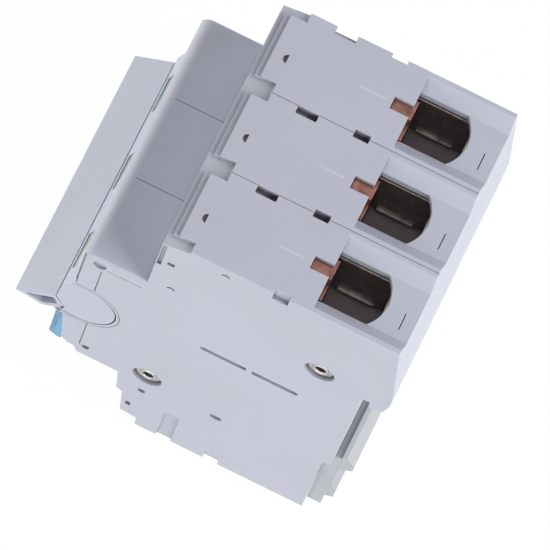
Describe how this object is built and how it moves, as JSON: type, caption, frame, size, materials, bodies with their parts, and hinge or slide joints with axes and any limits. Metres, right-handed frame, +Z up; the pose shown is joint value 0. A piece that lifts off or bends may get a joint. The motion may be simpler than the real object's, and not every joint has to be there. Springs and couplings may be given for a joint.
{
  "type": "din rail switch disconnector",
  "caption": "Modular switch disconnector for a 35 mm rail, with a full width lever, clamp terminals at both ends and a sprung rail grip.",
  "frame": {"origin": "on the front plane of the rail, at the middle of the rail height and of the width", "axes": "+Z up as mounted on a wall, -Y to the front where the lever is, +X across the poles to the right seen from the front"},
  "size_m": [0.0524, 0.0714, 0.0865],
  "materials": {
    "case_plastic": "fine matt light grey moulding",
    "lever_plastic": "satin grey moulding",
    "clip_plastic": "satin grey moulding",
    "rotor_plastic": "black moulding",
    "flap_clear": "clear pale blue plastic",
    "green_mark": "pale green",
    "red_mark": "red",
    "copper": "bare copper",
    "cage_metal": "dark zinc plated steel",
    "screw_metal": "zinc plated",
    "rivet_metal": "nickel plated",
    "steel": "drawn steel"
  },
  "bodies": {
    "case": {"lower_contact_bar_1": "copper", "lower_contact_bar_2": "copper", "lower_contact_bar_3": "copper", "lower_rivet": "rivet_metal", "pole_1_left_shell": "case_plastic", "pole_1_right_shell": "case_plastic", "pole_2_left_shell": "case_plastic", "pole_2_right_shell": "case_plastic", "pole_3_left_shell": "case_plastic", "pole_3_right_shell": "case_plastic", "upper_contact_bar_1": "copper", "upper_contact_bar_2": "copper", "upper_contact_bar_3": "copper", "upper_rivet": "rivet_metal"},
    "handle": {"drum": "lever_plastic", "lever": "lever_plastic", "drum_shaft": "steel", "green_mark_1": "green_mark", "green_mark_2": "green_mark", "green_mark_3": "green_mark", "red_mark_1": "red_mark", "red_mark_2": "red_mark", "red_mark_3": "red_mark"},
    "rotor_1": {"contact_rotor_1": "rotor_plastic", "contact_bridge_1": "copper"},
    "link_1": {"link_1": "steel"},
    "flap_1": {"label_flap_1": "flap_clear"},
    "clip_1": {"rail_clip_1": "clip_plastic"},
    "upper_screw_1": {"upper_screw_1": "screw_metal"},
    "upper_cage_1": {"upper_cage_1": "cage_metal"},
    "lower_screw_1": {"lower_screw_1": "screw_metal"},
    "lower_cage_1": {"lower_cage_1": "cage_metal"},
    "rotor_2": {"contact_rotor_2": "rotor_plastic", "contact_bridge_2": "copper"},
    "link_2": {"link_2": "steel"},
    "flap_2": {"label_flap_2": "flap_clear"},
    "clip_2": {"rail_clip_2": "clip_plastic"},
    "upper_screw_2": {"upper_screw_2": "screw_metal"},
    "upper_cage_2": {"upper_cage_2": "cage_metal"},
    "lower_screw_2": {"lower_screw_2": "screw_metal"},
    "lower_cage_2": {"lower_cage_2": "cage_metal"},
    "rotor_3": {"contact_rotor_3": "rotor_plastic", "contact_bridge_3": "copper"},
    "link_3": {"link_3": "steel"},
    "flap_3": {"label_flap_3": "flap_clear"},
    "clip_3": {"rail_clip_3": "clip_plastic"},
    "upper_screw_3": {"upper_screw_3": "screw_metal"},
    "upper_cage_3": {"upper_cage_3": "cage_metal"},
    "lower_screw_3": {"lower_screw_3": "screw_metal"},
    "lower_cage_3": {"lower_cage_3": "cage_metal"}
  },
  "joints": [
    {"name": "lever_turn", "type": "hinge", "parent": "case", "child": "handle", "pos_m": [0, -0.0545, -0.0005], "axis": [-1, 0, 0], "range_deg": [0, 66]},
    {"name": "rotor_1_turn", "type": "hinge", "parent": "case", "child": "rotor_1", "pos_m": [-0.0175, -0.0215, -0.0005], "axis": [-1, 0, 0], "range_deg": [0, 66]},
    {"name": "link_1_swing", "type": "hinge", "parent": "handle", "child": "link_1", "pos_m": [-0.0175, -0.05613, 0.00202], "axis": [-1, 0, 0], "range_deg": [-66, 0]},
    {"name": "flap_1_lift", "type": "hinge", "parent": "case", "child": "flap_1", "pos_m": [-0.0175, -0.0577, -0.0083], "axis": [-1, 0, 0], "range_deg": [0, 55]},
    {"name": "clip_1_slide", "type": "slide", "parent": "case", "child": "clip_1", "axis": [0, 0, -1], "range_m": [0, 0.0035], "stiffness_N_per_m": 600},
    {"name": "upper_screw_1_turn", "type": "hinge", "parent": "case", "child": "upper_screw_1", "pos_m": [-0.0175, -0.03, 0.03305], "axis": [0, 1, 0], "range_deg": [0, 3600]},
    {"name": "upper_cage_1_slide", "type": "slide", "parent": "case", "child": "upper_cage_1", "axis": [0, -1, 0], "range_m": [0, 0.01]},
    {"name": "lower_screw_1_turn", "type": "hinge", "parent": "case", "child": "lower_screw_1", "pos_m": [-0.0175, -0.03, -0.03135], "axis": [0, 1, 0], "range_deg": [0, 3600]},
    {"name": "lower_cage_1_slide", "type": "slide", "parent": "case", "child": "lower_cage_1", "axis": [0, -1, 0], "range_m": [0, 0.01]},
    {"name": "rotor_2_turn", "type": "hinge", "parent": "case", "child": "rotor_2", "pos_m": [0, -0.0215, -0.0005], "axis": [-1, 0, 0], "range_deg": [0, 66]},
    {"name": "link_2_swing", "type": "hinge", "parent": "handle", "child": "link_2", "pos_m": [0, -0.05613, 0.00202], "axis": [-1, 0, 0], "range_deg": [-66, 0]},
    {"name": "flap_2_lift", "type": "hinge", "parent": "case", "child": "flap_2", "pos_m": [0, -0.0577, -0.0083], "axis": [-1, 0, 0], "range_deg": [0, 55]},
    {"name": "clip_2_slide", "type": "slide", "parent": "case", "child": "clip_2", "axis": [0, 0, -1], "range_m": [0, 0.0035], "stiffness_N_per_m": 600},
    {"name": "upper_screw_2_turn", "type": "hinge", "parent": "case", "child": "upper_screw_2", "pos_m": [0, -0.03, 0.03305], "axis": [0, 1, 0], "range_deg": [0, 3600]},
    {"name": "upper_cage_2_slide", "type": "slide", "parent": "case", "child": "upper_cage_2", "axis": [0, -1, 0], "range_m": [0, 0.01]},
    {"name": "lower_screw_2_turn", "type": "hinge", "parent": "case", "child": "lower_screw_2", "pos_m": [0, -0.03, -0.03135], "axis": [0, 1, 0], "range_deg": [0, 3600]},
    {"name": "lower_cage_2_slide", "type": "slide", "parent": "case", "child": "lower_cage_2", "axis": [0, -1, 0], "range_m": [0, 0.01]},
    {"name": "rotor_3_turn", "type": "hinge", "parent": "case", "child": "rotor_3", "pos_m": [0.0175, -0.0215, -0.0005], "axis": [-1, 0, 0], "range_deg": [0, 66]},
    {"name": "link_3_swing", "type": "hinge", "parent": "handle", "child": "link_3", "pos_m": [0.0175, -0.05613, 0.00202], "axis": [-1, 0, 0], "range_deg": [-66, 0]},
    {"name": "flap_3_lift", "type": "hinge", "parent": "case", "child": "flap_3", "pos_m": [0.0175, -0.0577, -0.0083], "axis": [-1, 0, 0], "range_deg": [0, 55]},
    {"name": "clip_3_slide", "type": "slide", "parent": "case", "child": "clip_3", "axis": [0, 0, -1], "range_m": [0, 0.0035], "stiffness_N_per_m": 600},
    {"name": "upper_screw_3_turn", "type": "hinge", "parent": "case", "child": "upper_screw_3", "pos_m": [0.0175, -0.03, 0.03305], "axis": [0, 1, 0], "range_deg": [0, 3600]},
    {"name": "upper_cage_3_slide", "type": "slide", "parent": "case", "child": "upper_cage_3", "axis": [0, -1, 0], "range_m": [0, 0.01]},
    {"name": "lower_screw_3_turn", "type": "hinge", "parent": "case", "child": "lower_screw_3", "pos_m": [0.0175, -0.03, -0.03135], "axis": [0, 1, 0], "range_deg": [0, 3600]},
    {"name": "lower_cage_3_slide", "type": "slide", "parent": "case", "child": "lower_cage_3", "axis": [0, -1, 0], "range_m": [0, 0.01]}
  ],
  "couplings": [
    {"joint": "rotor_1_turn", "follows": "lever_turn", "ratio": 1},
    {"joint": "link_1_swing", "follows": "lever_turn", "ratio": -1},
    {"joint": "upper_screw_1_turn", "follows": "upper_cage_1_slide", "rad_per_m": 6283.2},
    {"joint": "lower_screw_1_turn", "follows": "lower_cage_1_slide", "rad_per_m": 6283.2},
    {"joint": "rotor_2_turn", "follows": "lever_turn", "ratio": 1},
    {"joint": "link_2_swing", "follows": "lever_turn", "ratio": -1},
    {"joint": "upper_screw_2_turn", "follows": "upper_cage_2_slide", "rad_per_m": 6283.2},
    {"joint": "lower_screw_2_turn", "follows": "lower_cage_2_slide", "rad_per_m": 6283.2},
    {"joint": "rotor_3_turn", "follows": "lever_turn", "ratio": 1},
    {"joint": "link_3_swing", "follows": "lever_turn", "ratio": -1},
    {"joint": "upper_screw_3_turn", "follows": "upper_cage_3_slide", "rad_per_m": 6283.2},
    {"joint": "lower_screw_3_turn", "follows": "lower_cage_3_slide", "rad_per_m": 6283.2}
  ]
}
